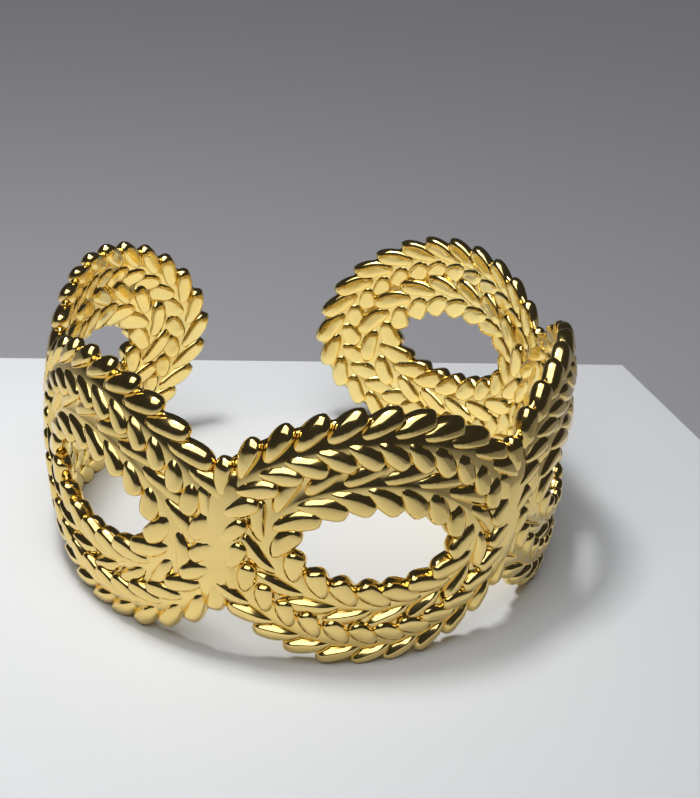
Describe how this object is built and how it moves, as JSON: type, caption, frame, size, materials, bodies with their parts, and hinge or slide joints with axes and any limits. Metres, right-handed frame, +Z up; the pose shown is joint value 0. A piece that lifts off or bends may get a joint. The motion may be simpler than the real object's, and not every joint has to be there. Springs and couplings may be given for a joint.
{
  "type": "openwork cuff bracelet",
  "caption": "Open cuff bracelet of pierced oval leaf wreaths set side by side in one curved polished gold-tone band, lying on its side.",
  "frame": {"origin": "on the surface that the cuff lies on, under the middle of the cuff's box", "axes": "+Z up along the wrist's axis, -Y out of the middle wreath at the front, +Y out of the opening at the back, +X to the right as the front is looked at"},
  "size_m": [0.0602, 0.0566, 0.0296],
  "materials": {
    "gold_tone": "polished gold-tone plating"
  },
  "bodies": {
    "root": {"cuff": "gold_tone"}
  },
  "joints": []
}
